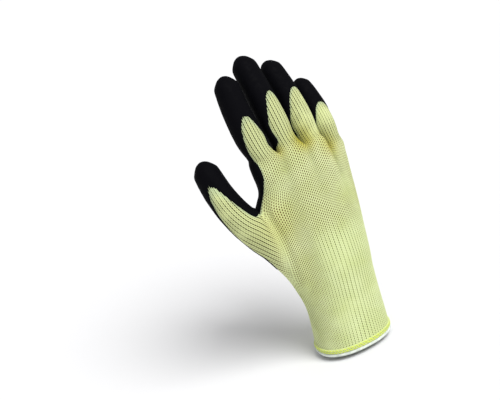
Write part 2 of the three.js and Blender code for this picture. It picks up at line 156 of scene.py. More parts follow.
# %% [markdown]
# ## Places on the hand
# A section of the hand is a rounded oval. Its columns of stitches start at the little finger, cross the
# back to the thumb and come round the palm. Higher up, the columns gather into four fingers. Each place
# also gets a second number: how many millimetres it lies inside the edge of the latex, below 0 where the
# knit is bare. Keeping that distance on the surface, instead of painting a mask, is what later lets the
# latex be cut out with a clean edge.

# %% Places on the cuff and the hand
def mix(a, b, share):
    return a + (b - a) * share


def smoothstep(value, low=0.0, high=1.0):
    t = min(1.0, max(0.0, (value - low) / (high - low)))
    return t * t * (3 - 2 * t)


def round_point(angle):
    def part(v):
        return math.copysign(abs(v) ** (2 / ROUNDNESS), v)
    return part(math.cos(angle)), part(math.sin(angle))


def finger_stations():
    """Where each column stands once the fingers part: 1 at the little finger, -1 at the thumb side."""
    stations = [1.0]
    edge = 1.0
    for n, finger in enumerate(FINGERS):
        half = finger["share"]
        low = edge - half * (1 - CORNER) if n == 0 else edge
        high = edge - half * (1 + CORNER) if n == len(FINGERS) - 1 else edge - 2 * half
        for k in range(0 if n == 0 else 1, FINGER_EDGES + 1):
            turn = math.cos(math.radians(LOOP_STEP * (k + 1))) / CORNER
            stations.append(mix(low, high, (1 - turn) / 2))
        edge -= 2 * half
    return stations + [-1.0]


STATIONS = finger_stations()


def crotch_drop(station):
    edge = 1.0
    for finger in FINGERS:
        edge -= 2 * finger["share"]
        if station >= edge - 1e-6:
            return finger["drop"] * FINGER_LENGTH
    return FINGERS[-1]["drop"] * FINGER_LENGTH


def flank_of(column, flank):
    """How far a column near the middle of the thumb side bulges to that side."""
    return math.exp(-((HALF - min(column, COLUMNS - column)) / BALL_REACH) ** 2) * flank * PALM_WIDTH


def cuff_row(up, flare, flank):
    width = mix(WRIST_WIDTH, MOUTH_WIDTH, flare)
    depth = mix(WRIST_DEPTH, MOUTH_DEPTH, flare)
    z = mix(HEM_WALL + CLEARANCE, CUFF_LENGTH + CLEARANCE / 2, up)
    places = []
    for column in range(COLUMNS):
        x, y = round_point(column / HALF * math.pi)
        places.append(Vector((x * width / 2 - flank_of(column, flank), -y * depth / 2, z)))
    return places


def hand_row(row):
    width = mix(WRIST_WIDTH, PALM_WIDTH, row["broad"])
    depth = mix(WRIST_DEPTH, PALM_DEPTH, row["thin"])
    centre = Vector((row["aside"] * PALM_WIDTH, row["palmward"] * PALM_DEPTH, 0))
    places = []
    for column in range(COLUMNS):
        side = min(column, COLUMNS - column)
        parted = max(0, (PARTED_COLUMNS - (HALF - side)) / (PARTED_COLUMNS - 1)) * row["open"]
        turned = 0 if side == HALF else math.radians(parted)
        x = mix(round_point(side / HALF * math.pi - turned)[0], STATIONS[side], row["fan"])
        arch = ((x + 1) / 2) ** 2 * row["arch"] * PALM_DEPTH
        bulge = max(0.0, 1 - abs(x) ** ROUNDNESS) ** (1 / ROUNDNESS)
        in_valley = side % FINGER_EDGES == 1 and 1 < side < HALF - 1
        dent = row["valley"] * PALM_DEPTH if in_valley else 0
        to_palm = 0 if column in (0, HALF) else -1 if column < HALF else 1
        ball = math.exp(-((column - BALL_COLUMN) / BALL_REACH) ** 2)
        ball -= math.exp(-((column - WEB_COLUMN) / WEB_REACH) ** 2)
        y = to_palm * (bulge * depth / 2 - dent) + ball * row["ball"] * PALM_DEPTH + arch
        low = crotch_drop(STATIONS[side]) * row["up"] ** DROP_POWER
        z = CUFF_LENGTH + CLEARANCE + row["up"] * HAND_LENGTH - low - math.tan(math.radians(row["tilt"])) * y
        places.append(Vector((x * width / 2 - flank_of(column, row["flank"]), y, z)) + centre)
    return places


def hand_coat(row, column):
    """How far a column of the hand lies inside the latex."""
    turned = column + COLUMNS if column < PALM_MIDDLE - HALF else column
    from_thumb = turned - (HALF - row["wrap_thumb"])
    from_little = COLUMNS + row["wrap_little"] - turned
    curve = CURVE_COLUMNS * math.log(1 + math.exp(-abs(from_thumb - from_little) / CURVE_COLUMNS))
    inside = COLUMN_PITCH * (min(from_thumb, from_little) - curve)
    return min(inside, ROOTS_COATED) if row["up"] == 1 else inside


print("mouth:", tuple(round(v, 1) for v in cuff_row(0, 1, 0)[0]), "knuckles:", len(hand_row(HAND_ROWS[-1])))

# %% [markdown]
# ## Places on a finger
# A finger bends at the knuckle and at two joints, and its section turns with it. A middle line that knows
# its own forward, sideways and palmward directions carries the rings, as an armature carries clay. The bare
# tongue of knit up the back of a finger is where the dip didn't reach: the finger was tipped palm first
# into the latex, so the tongue narrows towards the tip.

# %% Places on a digit
def spine(base, shape, length):
    def directions(share):
        sideways = math.radians(mix(*shape["spread"], smoothstep(share)))
        up = Vector((-math.sin(sideways), 0, math.cos(sideways)))
        level = Vector((math.cos(sideways), 0, math.sin(sideways)))
        palm = Quaternion(up, -math.radians(shape["turn"])) @ Vector((0, 1, 0))
        bend = shape["bends"][0]
        for at, more in zip(JOINTS_AT, shape["bends"][1:]):
            bend += more * smoothstep(share, at - JOINT_REACH, at + JOINT_REACH)
        forward = up * math.cos(math.radians(bend)) + palm * math.sin(math.radians(bend))
        turned = math.radians(shape["turn"]) * min(1, share / TURNED_AT)
        aside = Quaternion(up, -turned) @ level
        aside = (aside - forward * aside.dot(forward)).normalized()
        return {"forward": forward, "level": level, "aside": aside, "palmward": forward.cross(aside)}

    def at(share):
        step = share / SPINE_STEPS
        place = base.copy()
        for n in range(SPINE_STEPS):
            place += directions(step * (n + 0.5))["forward"] * step * length
        return {"place": place, **directions(share)}

    return at


def digit_row(at, width, depth, slant, share, shape):
    """The places and the coat distances of one ring of a digit."""
    closed = mix(shape["rise"], 1, min(share / shape["tongue"], TONGUE_POWER) ** TONGUE_POWER)
    places, coats = [], []
    for column in range(LOOP):
        angle = column / LOOP * 2 * math.pi
        offset = at["aside"] * math.cos(angle) * width / 2 - at["palmward"] * math.sin(angle) * depth / 2
        offset += at["forward"] * math.tan(math.radians(slant)) * offset.dot(at["level"])
        places.append(at["place"] + offset)
        coats.append(depth / 2 * (closed - math.sin(angle - math.radians(shape["lean"]))))
    return places, coats


thumb_reach = spine(Vector(), THUMB, THUMB_LENGTH)(1)["place"]
print("the thumb reaches", tuple(round(v, 1) for v in thumb_reach), "from its root")

# %% [markdown]
# ## Growing the surface ring by ring
# A tube is modelled by extruding its open edge: each ring of edges is extruded once and the new ring is
# moved to its place. While the new faces are fresh, they get their knit coordinates as a UV map: across
# counts the columns of stitches, called wales, and up counts the rows, called courses. A pattern drawn in
# those coordinates follows the fabric round every bend.

# %% Ring helpers
WALES_PER_COLUMN = 4
WALE_PITCH = 1.36
COURSE = 2.1
ORDER_BASE = 1e5


def start_ring(bm, places):
    ring = bmesh.ops.create_circle(bm, segments=len(places), radius=1)["verts"]
    for vert, place in zip(ring, places):
        vert.co = place
    return ring


def ring_edges(bm, ring):
    ends = zip(ring, ring[1:] + ring[:1])
    return [bm.edges.get(pair) or bm.edges.new(pair) for pair in ends]


def raise_ring(bm, ring, places, low_uv, high_uv):
    """Extrude a closed ring of vertices by one row and give the new faces their knit coordinates."""
    uv = bm.loops.layers.uv.verify()
    made = bmesh.ops.extrude_edge_only(bm, edges=ring_edges(bm, ring))["geom"]
    fresh = {part for part in made if isinstance(part, bmesh.types.BMVert)}
    row = []
    for vert, place in zip(ring, places):
        twin = next(e.other_vert(vert) for e in vert.link_edges if e.other_vert(vert) in fresh)
        twin.co = place
        row.append(twin)
    for n in range(len(ring)):
        following = (n + 1) % len(ring)
        corner = {ring[n]: low_uv[n], ring[following]: low_uv[n + 1],
                  row[n]: high_uv[n], row[following]: high_uv[n + 1]}
        for loop in bm.edges.get((row[n], row[following])).link_faces[0].loops:
            loop[uv].uv = corner[loop.vert]
    return row


def put_in_order(bm):
    """Order edges and faces by their corners, because extruding leaves them in a chance order."""
    def corner_key(part):
        key = 0
        for index in sorted(vert.index for vert in part.verts)[:3]:
            key = key * ORDER_BASE + index
        return key

    bm.verts.index_update()
    for parts in (bm.edges, bm.faces):
        parts.sort(key=corner_key)
        parts.index_update()


def wale_row(first_wale, per_column, count, course):
    return [(first_wale + n * per_column, course) for n in range(count + 1)]


def along_axis(frame, places, first_wale, root_course):
    """Knit coordinates for a ring whose wales run along a digit's axis, whatever the slant of the ring."""
    row = []
    for n, place in enumerate([*places, places[0]]):
        away = place - frame["place"]
        wale = LOOP / 4 * WALES_PER_COLUMN - away.dot(frame["level"]) / WALE_PITCH
        if not 0 <= n <= LOOP / 2:
            wale = n * WALES_PER_COLUMN
        row.append((first_wale + wale, root_course + away.dot(frame["forward"]) / COURSE))
    return row


# %% [markdown]
# ## The hand's cage
# The cage has 36 columns. The two columns of the thumb side are opened to make room for the thumb, and each
# finger stands on the columns of its own back and palm with a point of its crotch on either side. The wales
# of a finger's back go on from the wales of the hand, as they do on a seamless glove, and the thumb's own
# wales meet the hand's at an angle.

# %% Build the cage of the hand
SLANTED_RINGS = 3
RIDGE_PLACES = (0.5, 0, -0.5)
CARRIED = ("coat", "seam", "lines")
THUMB_FIRST_WALE, THUMB_ROOT_COURSE = 0.5, 0.5


def float_layer(bm, name):
    return bm.verts.layers.float.get(name) or bm.verts.layers.float.new(name)


def coat_layer(bm):
    return float_layer(bm, "coat")


def set_coats(bm, ring, coats):
    layer = coat_layer(bm)
    for vert, coat in zip(ring, coats):
        vert[layer] = coat


def add_digit(bm, root, shape, length, rows, width, first_wale, root_course, slanted_rings=0):
    base = sum((vert.co for vert in root), Vector()) / len(root)
    seat = base + spine(base, shape, length)(0)["level"] * shape["shift"]
    at = spine(seat, shape, length)
    root_places = [vert.co.copy() for vert in root]
    tip_width = width * rows[-1]["wide"]
    tip_depth = width * rows[-1]["deep"]
    tip_length = TIP_LENGTH * tip_width
    straight = length - tip_length
    stages = []
    for row in rows:
        share = row["along"] * straight / length
        here = at(share)
        places, coats = digit_row(here, width * row["wide"], width * row["deep"], row["slant"], share, shape)
        moved = here["place"] - base
        places = [place.lerp(kept + moved, row["keep"]) for place, kept in zip(places, root_places)]
        stages.append((share, places, coats))
    reached = 0
    for angle in TIP_ANGLES:
        reached = tip_length * TIP_SEAT * math.cos(math.radians(angle))
        share = (straight + reached) / length
        size = math.sin(math.radians(angle))
        stages.append((share, *digit_row(at(share), tip_width * size, tip_depth * size, 0, share, shape)))
    ring = root
    low_uv = wale_row(first_wale, WALES_PER_COLUMN, LOOP, root_course)
    if slanted_rings:
        low_uv = along_axis(at(0), root_places, first_wale, root_course)
    for n, (share, places, coats) in enumerate(stages):
        high_uv = wale_row(first_wale, WALES_PER_COLUMN, LOOP, root_course + share * length / COURSE)
        if n < slanted_rings:
            high_uv = along_axis(at(0), places, first_wale, root_course)
        ring = raise_ring(bm, ring, places, low_uv, high_uv)
        set_coats(bm, ring, coats)
        low_uv = high_uv
    opposite = LOOP // 2
    end = at((straight + reached) / length)
    middles = []
    for share in RIDGE_PLACES:
        place = ring[opposite].co.lerp(ring[0].co, (1 + share) / 2)
        place += end["forward"] * (tip_length - reached) * (1 - share * share)
        middles.append(bm.verts.new(place))
    set_coats(bm, middles, [FULLY_COATED] * len(middles))
    back, palm = ring[1:opposite], ring[:opposite:-1]
    ridge = [ring[0], *middles, ring[opposite]]
    for low, high in ((back, ridge), (ridge, palm)):
        for n in range(FINGER_EDGES):
            bm.faces.new((low[n], low[n + 1], high[n + 1], high[n]))
    return ring


def build_hand_cage():
    bm = bmesh.new()
    bm.loops.layers.uv.new("knit")
    for name in CARRIED:
        float_layer(bm, name)
    rings = []
    wrist = [Vector((p.x, p.y, CUFF_LENGTH + CLEARANCE / 2)) for p in hand_row(HAND_ROWS[0])]
    for n, row in enumerate(HAND_ROWS):
        course = (CUFF_LENGTH + row["up"] * HAND_LENGTH) / COURSE
        high_uv = wale_row(0, WALES_PER_COLUMN, COLUMNS, course)
        ring = start_ring(bm, wrist) if n == 0 else raise_ring(bm, rings[-1], hand_row(row), low_uv, high_uv)
        set_coats(bm, ring, [hand_coat(row, column) for column in range(COLUMNS)])
        rings.append(ring)
        low_uv = high_uv
    opened = []
    for n in range(THUMB_FIRST_ROW, THUMB_LAST_ROW):
        for column in (HALF - 1, HALF):
            low, high = rings[n], rings[n + 1]
            corners = {low[column], low[column + 1], high[column], high[column + 1]}
            opened += [f for f in low[column].link_faces if set(f.verts) == corners]
    bmesh.ops.delete(bm, geom=opened, context="FACES")
    top = rings[-1]
    of_hand = set(bm.verts)
    crotches = [top[0]]
    for n in range(1, len(FINGERS)):
        back, front = top[1 + n * FINGER_EDGES], top[COLUMNS - 1 - n * FINGER_EDGES]
        crotches.append(bm.verts.new(back.co.lerp(front.co, 0.5)))
        crotches[-1][coat_layer(bm)] = CROTCH_COATS[n - 1]
    crotches.append(top[HALF])
    knuckles = (CUFF_LENGTH + HAND_LENGTH) / COURSE
    for n, finger in enumerate(FINGERS):
        first = 1 + n * FINGER_EDGES
        backs = top[first:first + FINGER_EDGES + 1]
        fronts = top[COLUMNS - first - FINGER_EDGES:COLUMNS - first + 1]
        root = [crotches[n], *backs, crotches[n + 1], *fronts]
        width = FINGER_FIT * finger["share"] * PALM_WIDTH
        first_wale = (first - 1) * WALES_PER_COLUMN
        add_digit(bm, root, finger, finger["long"] * FINGER_LENGTH, FINGER_ROWS, width, first_wale, knuckles)
    beside = rings[THUMB_FIRST_ROW:THUMB_LAST_ROW + 1]
    back_edge = [ring[HALF - 1] for ring in reversed(beside)]
    palm_edge = [ring[HALF + 1] for ring in beside]
    thumb_root = [beside[-1][HALF], *back_edge, beside[0][HALF], *palm_edge]
    add_digit(bm, thumb_root, THUMB, THUMB_LENGTH, THUMB_ROWS, THUMB_WIDTH, THUMB_FIRST_WALE,
              THUMB_ROOT_COURSE, SLANTED_RINGS)
    seam, lines = float_layer(bm, "seam"), float_layer(bm, "lines")
    for vert in thumb_root:
        vert[seam] = 1
    for vert in set(bm.verts) - of_hand:
        vert[lines] = 1
    put_in_order(bm)
    bmesh.ops.recalc_face_normals(bm, faces=bm.faces)
    return bm


hand_cage = build_hand_cage()
print("hand cage:", len(hand_cage.verts), "points,", len(hand_cage.faces), "faces,",
      sum(e.is_boundary for e in hand_cage.edges), "open edges")

# %% [markdown]
# ## A smooth surface that keeps its size
# A Subdivision Surface rounds a cage and shrinks it a little, and a finger would come out half a millimetre
# thin. The cage is therefore pushed outwards until its limit surface passes through the places above. The
# limit of a point is a known average of the point and its neighbours, so a few rounds of adding the error
# settle it. The coat distance is smoothed in the same way: a twin of the cage carries it as a coordinate.

# %% Settle and smooth
SETTLE_ROUNDS = 8
SEAM_ROUNDS = 2
SEAM_COAT = (0.5, 4)


def neighbours(vert):
    return [edge.other_vert(vert) for edge in vert.link_edges]


def total(places):
    return sum(places, Vector())


def limit_place(vert):
    """Where the Subdivision Surface puts this corner of the cage."""
    if vert.is_boundary:
        rim = [e.other_vert(vert).co for e in vert.link_edges if e.is_boundary]
        return (vert.co * 4 + total(rim)) / 6
    count = len(vert.link_edges)
    beside = total(v.co for v in neighbours(vert))
    near = {*neighbours(vert), vert}
    across = total(v.co for f in vert.link_faces for v in f.verts if v not in near)
    return (vert.co * count ** 2 + beside * 4 + across) / (count * (count + 5))


def settle(bm):
    wanted = [vert.co.copy() for vert in bm.verts]
    for _ in range(SETTLE_ROUNDS):
        moves = [target - limit_place(vert) for vert, target in zip(bm.verts, wanted)]
        for vert, move in zip(bm.verts, moves):
            vert.co += move
    return max((target - limit_place(vert)).length for vert, target in zip(bm.verts, wanted))


def smoothed(bm, levels):
    """The Subdivision Surface of a cage as a mesh of its own."""
    mesh = bpy.data.meshes.new("cage")
    bm.to_mesh(mesh)
    holder = link_object("cage", mesh)
    modifier = holder.modifiers.new("smooth", "SUBSURF")
    modifier.levels = modifier.render_levels = levels
    depsgraph = bpy.context.evaluated_depsgraph_get()
    result = bpy.data.meshes.new_from_object(holder.evaluated_get(depsgraph))
    bpy.data.objects.remove(holder)
    bpy.data.meshes.remove(mesh)
    return result


def read_vectors(mesh, field):
    values = [0.0] * (3 * len(mesh.vertices))
    mesh.vertices.foreach_get(field, values)
    return [Vector(values[n:n + 3]) for n in range(0, len(values), 3)]


def soften_seam(bm, rounds):
    """Let the fabric bridge the valley where the bare knit of the thumb meets the hand's."""
    coat, seam = coat_layer(bm), bm.verts.layers.float["seam"]
    soft = [(vert, vert[seam] * smoothstep(-vert[coat], *SEAM_COAT)) for vert in bm.verts if vert[seam] > 0]
    soft = [(vert, weight) for vert, weight in soft if weight > 0]
    for _ in range(rounds):
        middles = [total(n.co for n in neighbours(v)) / len(v.link_edges) for v, _ in soft]
        for (vert, weight), middle in zip(soft, middles):
            vert.co = vert.co.lerp(middle, weight / 2)


def note_outward(bm):
    """Note on each vertex which way is out, level at a rim so that the rims stay flat."""
    out = bm.verts.layers.float_vector.new("out")
    bm.normal_update()
    for vert in bm.verts:
        level = Vector((vert.normal.x, vert.normal.y, 0)).normalized()
        vert[out] = level if vert.is_boundary else vert.normal


def smooth_hand(levels):
    """A bmesh of the hand's smooth surface with its coat distance and outward direction on every vertex."""
    surface, field = smoothed(hand_cage, levels), smoothed(coat_twin, levels)
    notes = read_vectors(field, "co")
    bm = bmesh.new()
    bm.from_mesh(surface)
    for name in CARRIED:
        float_layer(bm, name)
    layers = [float_layer(bm, name) for name in CARRIED]
    for vert, note in zip(bm.verts, notes):
        for layer, value in zip(layers, note):
            vert[layer] = value
    soften_seam(bm, SEAM_ROUNDS * 4 ** levels)
    note_outward(bm)
    bpy.data.meshes.remove(surface)
    bpy.data.meshes.remove(field)
    return bm


coat_twin = hand_cage.copy()
for vert in coat_twin.verts:
    vert.co = [vert[coat_twin.verts.layers.float[name]] for name in CARRIED]
print("hand settled to", round(settle(hand_cage), 3), "mm, coat to", round(settle(coat_twin), 3), "mm")

# %% [markdown]
# ## Stitches in relief
# A column of stitches stands up as a rounded ridge. Modelled yarn for each of some twelve thousand stitches
# would be too heavy, so the surface is cut fine across the wales and holds their ridges in its own shape,
# and the material later adds the single stitches. Towards the cuff the wales pair up into ribs: every other
# gap closes. How much the wales are paired, how near the latex is and how much painted warm shade lies in
# the crotches and the thumb web are noted on the surface, so that the shape and the colour agree.

# %% Relief of the knit
RELIEF = 0.32
RIDGE_POWER = 2.4
CLOSED_GAP = 0.7
RIB_TOP, RIB_FADE = 120, 26
RIB_SIDE, RIB_SIDE_FADE = -28, 16
SEAM_CALM = 0.45
SEAM_POWER = 4
LOOSE_RIB = 0.4
DIGIT_PAIRS = 0.7
LOOSE_FADE = 25
SHARP_ANGLE = math.radians(65)
EDGE_FAR, EDGE_NEAR = -1.7, -0.4
ACROSS_CUTS, ALONG_CUTS = 5, 1
NOTES = ("rib", "paired", "edge", "crotch_shade")
# Painted shade: warm dark spots in the thumb web and the finger crotches, as centre, reach and strength.
CROTCH_SHADE_SPOTS = [
    ((-44, -9, 126), 17, 0.3),
    ((0, 0, 180), 10, 1),
    ((19, 4, 167), 10, 1),
    ((-22, 2, 176), 7, 0.7),
]


def rib_share(place):
    """How far the wales have paired up into ribs, fully on the little finger's side of the wrist."""
    below = 1 - smoothstep(place.z, RIB_TOP - RIB_FADE, RIB_TOP)
    loose = LOOSE_RIB * (1 - smoothstep(place.z, CUFF_LENGTH - LOOSE_FADE, CUFF_LENGTH + LOOSE_FADE))
    return below * mix(loose, 1, smoothstep(place.x, RIB_SIDE, RIB_SIDE + RIB_SIDE_FADE))


def crotch_shade_share(place):
    """How strongly painted warm shade darkens the yarn, in the finger crotches and the thumb web."""
    shares = [strength * math.exp(-((place - Vector(spot)).length / reach) ** 2)
              for spot, reach, strength in CROTCH_SHADE_SPOTS]
    return min(max(shares), 1)


def stitch_height(wale, rib):
    across = abs(wale % 1 - 0.5) * 2
    closed = CLOSED_GAP * rib * (round(wale) % 2)
    return 1 - (1 - closed) * across ** RIDGE_POWER


def raise_stitches(bm, bare_share):
    """Lift the wales, and note on each vertex what the finish of the knit needs."""
    uv = bm.loops.layers.uv["knit"]
    out = bm.verts.layers.float_vector["out"]
    for name in NOTES:
        float_layer(bm, name)
    rib, paired, edge, crotch_shade = (float_layer(bm, name) for name in NOTES)
    coat, seam, lines = (bm.verts.layers.float.get(name) for name in CARRIED)
    for vert in bm.verts:
        vert[rib] = rib_share(vert.co)
        vert[paired] = max(vert[rib], DIGIT_PAIRS * vert[lines]) if lines else vert[rib]
        # painted shade in the crotches and the thumb web
        vert[crotch_shade] = crotch_shade_share(vert.co)
        vert[edge] = smoothstep(vert[coat], EDGE_FAR, EDGE_NEAR) if coat else 0
        wale = vert.link_loops[0][uv].uv.x
        calm = 1 - SEAM_CALM * max(vert[seam], 0) ** SEAM_POWER if seam else 1
        height = stitch_height(wale, vert[paired]) * bare_share(vert) * calm
        vert.co += vert[out] * RELIEF * height


def in_order(edges):
    return sorted(edges, key=lambda edge: edge.index)


def knit_edges(bm, wanted, lengthwise):
    """The edges of the wanted faces that run along the wales, or those that cross them."""
    bm.edges.index_update()
    uv = bm.loops.layers.uv["knit"]
    found = set()
    for face in filter(wanted, bm.faces):
        for loop in face.loops:
            step = loop.link_loop_next[uv].uv - loop[uv].uv
            if (abs(step.y) > abs(step.x)) == lengthwise:
                found.add(loop.edge)
    return in_order(found)


def cut_fine(bm, wanted):
    """Cut faces often across the wales, which carry the relief, and once along them."""
    for lengthwise, cuts in ((False, ACROSS_CUTS), (True, ALONG_CUTS)):
        edges = knit_edges(bm, wanted, lengthwise)
        bmesh.ops.subdivide_edges(bm, edges=edges, cuts=cuts, use_grid_fill=True)


def rims(bm):
    """The open rims of a surface, as lists of edges, from the lowest to the highest."""
    bm.edges.index_update()
    left = {e for e in bm.edges if e.is_boundary}
    found = []
    while left:
        rim, front = [], in_order(left)[:1]
        left -= set(front)
        while front:
            edge = front.pop()
            rim.append(edge)
            joined = {e for v in edge.verts for e in v.link_edges if e in left}
            left -= joined
            front += in_order(joined)
        found.append(rim)
    return sorted(found, key=lambda rim: rim[0].verts[0].co.z)


def add_lining(bm, lining):
    """Join a surface with its inner wall and close the rims between the two."""
    out = lining.verts.layers.float_vector["out"]
    for vert in lining.verts:
        vert.co -= vert[out] * KNIT_WALL
    bmesh.ops.reverse_faces(lining, faces=lining.faces)
    outer_rims = rims(bm)
    wall = bpy.data.meshes.new("lining")
    lining.to_mesh(wall)
    count = len(bm.verts)
    bm.from_mesh(wall)
    bpy.data.meshes.remove(wall)
    bm.verts.index_update()
    inner_rims = [rim for rim in rims(bm) if rim[0].verts[0].index >= count]
    for outer, inner in zip(outer_rims, inner_rims):
        bmesh.ops.bridge_loops(bm, edges=outer + inner)
    lining.free()


def finish_piece(bm, name, nodes):
    """Bring a bmesh to metres as a shaded piece that rides on the glove's only body."""
    put_in_order(bm)
    bmesh.ops.scale(bm, vec=(MM, MM, MM), verts=bm.verts)
    mesh = bpy.data.meshes.new(name)
    bm.to_mesh(mesh)
    bm.free()
    mesh.shade_smooth()
    mesh.set_sharp_from_angle(angle=SHARP_ANGLE)
    piece = link_object(name, mesh)
    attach(piece, "root")
    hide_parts(*nodes)
    mesh.calc_loop_triangles()
    print(name, "has", len(mesh.loop_triangles), "triangles")
    return piece


# %% [markdown]
# ## The knitted shell
# Only the bare knit needs the fine mesh, because the latex hides the rest. So the smooth surface starts
# coarse, and its bare faces alone are subdivided again, which keeps the piece light. A coarse lining closes
# it into a wall, as thick as the fabric.

# %% Knitted shell
SHELL_LEVELS = 2
LINING_LEVELS = 1
HIDDEN_MARGIN = 2.5
TUCKED = 0.25
UNDER_FROM, UNDER_TO = -0.5, 0.6


def shell_share(vert):
    """1 on bare knit, 0 under the latex."""
    return 1 - smoothstep(vert[vert_coat], UNDER_FROM, UNDER_TO)


shell = smooth_hand(SHELL_LEVELS)
vert_coat = coat_layer(shell)
cut_fine(shell, lambda face: min(v[vert_coat] for v in face.verts) < HIDDEN_MARGIN)
raise_stitches(shell, shell_share)
vert_coat = coat_layer(shell)
out = shell.verts.layers.float_vector["out"]
for vert in shell.verts:
    vert.co -= vert[out] * TUCKED * (1 - shell_share(vert))
add_lining(shell, smooth_hand(LINING_LEVELS))
shell_piece = finish_piece(shell, "knitted_shell", ["knit_shell"])

# %% [markdown]
# ## The ribbed cuff
# The cuff goes on from the hand with the same wales, paired into ribs that grip the wrist.

# %% Ribbed cuff
def build_cuff_cage():
    bm = bmesh.new()
    bm.loops.layers.uv.new("knit")
    ring, low_uv = None, None
    for up, flare, flank in CUFF_ROWS:
        high_uv = wale_row(0, WALES_PER_COLUMN, COLUMNS, up * CUFF_LENGTH / COURSE)
        places = cuff_row(up, flare, flank)
        ring = raise_ring(bm, ring, places, low_uv, high_uv) if ring else start_ring(bm, places)
        low_uv = high_uv
    put_in_order(bm)
    bmesh.ops.recalc_face_normals(bm, faces=bm.faces)
    return bm


def smooth_cuff(levels):
    surface = smoothed(cuff_cage, levels)
    bm = bmesh.new()
    bm.from_mesh(surface)
    bpy.data.meshes.remove(surface)
    note_outward(bm)
    return bm


cuff_cage = build_cuff_cage()
print("cuff settled to", round(settle(cuff_cage), 3), "mm")
cuff = smooth_cuff(SHELL_LEVELS)
cut_fine(cuff, lambda face: True)
raise_stitches(cuff, lambda vert: 1)
add_lining(cuff, smooth_cuff(LINING_LEVELS))
cuff_piece = finish_piece(cuff, "ribbed_cuff", ["rib_cuff"])

# %% [markdown]
# ## The dipped latex
# The latex is a film that follows the knit. It's cut out of the same smooth surface along its edge. The
# trick is to cut while the mesh lies flat in another space: each vertex is moved to its coat distance, so
# one straight Bisect at distance 0 trims the whole ragged edge, and then the vertices go home. Extruding
# the film gives it its thickness, thinner at the edge where the dip ran out.

# %% Latex
LATEX_LEVELS = 3
LATEX_WALL = 0.8
EDGE_WALL = 0.25
EDGE_REACH = 1.3
EDGE_JAG = 0.12
JAG_ALONG, JAG_ACROSS = 2.1, 0.9
WRINKLE = 0.12
WRINKLE_SIZE = 7
WRINKLE_NOISE = (1.0, 2.0, 3)


def film_thickness(distance):
    return mix(EDGE_WALL, LATEX_WALL, math.sqrt(smoothstep(distance, 0, EDGE_REACH)))


latex = smooth_hand(LATEX_LEVELS)
coat, out = coat_layer(latex), latex.verts.layers.float_vector["out"]
uv = latex.loops.layers.uv["knit"]
home = latex.verts.layers.float_vector.new("home")
for vert in latex.verts:
    vert[home] = vert.co
    wale, course = vert.link_loops[0][uv].uv
    vert[coat] += EDGE_JAG * (abs(wale % 1 - 0.5) * 4 - 1)
    vert[coat] += EDGE_JAG * math.sin(course * JAG_ALONG + wale * JAG_ACROSS)
    vert.co = (vert[coat], vert.co.x, vert.co.z)
everything = latex.verts[:] + latex.edges[:] + latex.faces[:]
bmesh.ops.bisect_plane(latex, geom=everything, dist=1e-5, plane_co=(0, 0, 0), plane_no=(1, 0, 0),
                       clear_inner=True)
for vert in latex.verts:
    vert.co = vert[home]
film = bmesh.ops.extrude_face_region(latex, geom=latex.faces[:], use_keep_orig=True)["geom"]
raised = [part for part in film if isinstance(part, bmesh.types.BMVert)]
for vert in raised:
    wrinkle = noise.fractal(vert.co / WRINKLE_SIZE, *WRINKLE_NOISE) * WRINKLE
    vert.co += Vector(vert[out]) * (film_thickness(vert[coat]) + wrinkle)
bmesh.ops.recalc_face_normals(latex, faces=latex.faces)
latex_piece = finish_piece(latex, "latex_film", ["latex_coating"])

# %% [markdown]
# ## The edge of the cuff
# An overlock machine trims the cuff's mouth and wraps it with thread: a pale elastic edge rolled over the
# rim, and above it a band of bright looper threads that zigzag round the cuff.

# %% Hem
HEM_HEIGHT = 3
BAND_HEIGHT = 3.8
BAND_WALL = 0.55
AROUND = 288
WRAPS = 96
WRAP_RELIEF = 0.22
WRAP_SLANT = 0.35
SECTION_STEPS = 20


def mouth_point(share, out, z):
    """A point at a share of the way round the mouth, so far out of the cuff's surface."""
    angle = share * 2 * math.pi
    x, y = round_point(angle)
    step = 1e-3
    x2, y2 = round_point(angle + step)
    x1, y1 = round_point(angle - step)
    along = Vector(((x2 - x1) * MOUTH_WIDTH, -(y2 - y1) * MOUTH_DEPTH, 0)).normalized()
    normal = Vector((-along.y, along.x, 0))
    place = Vector((x * MOUTH_WIDTH / 2, -y * MOUTH_DEPTH / 2, z))
    if normal.dot(place) < 0:
        normal = -normal
    return place + normal * out


def ring_piece(section, relief, wraps):
    """A closed ring from a section of (out, height) points, grown point by point."""
    bm = bmesh.new()
    bm.loops.layers.uv.new("knit")
    first, ring, low_uv = None, None, None
    for n, (out, z) in enumerate(section):
        places = []
        for k in range(AROUND):
            wrap = abs(math.sin(math.pi * (k / AROUND * wraps + z * WRAP_SLANT)))
            lift = math.copysign(relief * wrap, out + KNIT_WALL / 2)
            places.append(mouth_point(k / AROUND, out + lift, z))
        high_uv = wale_row(0, wraps / AROUND, AROUND, n)
        ring = raise_ring(bm, ring, places, low_uv, high_uv) if ring else start_ring(bm, places)
        first = first or ring
        low_uv = high_uv
    bmesh.ops.bridge_loops(bm, edges=ring_edges(bm, first) + ring_edges(bm, ring))
    bmesh.ops.recalc_face_normals(bm, faces=bm.faces)
    return bm


hem_out = CLEARANCE + HEM_WALL
hem_middle = -KNIT_WALL / 2
hem_reach = KNIT_WALL / 2 + hem_out - WRAP_RELIEF
hem_section = []
for n in range(SECTION_STEPS):
    x, y = round_point(n / SECTION_STEPS * 2 * math.pi)
    hem_section.append((hem_middle + hem_reach * x, HEM_HEIGHT / 2 + (HEM_HEIGHT / 2) * y))
hem = ring_piece(hem_section, WRAP_RELIEF, WRAPS)
hem_piece = finish_piece(hem, "rolled_hem", ["hem_edge"])

# %% [markdown]
# The looper threads are tubes that climb and fall across the band. Two of them, half a stitch apart, cross
# each other the way the real ones do. A thin tape under them closes the view to the ribs.

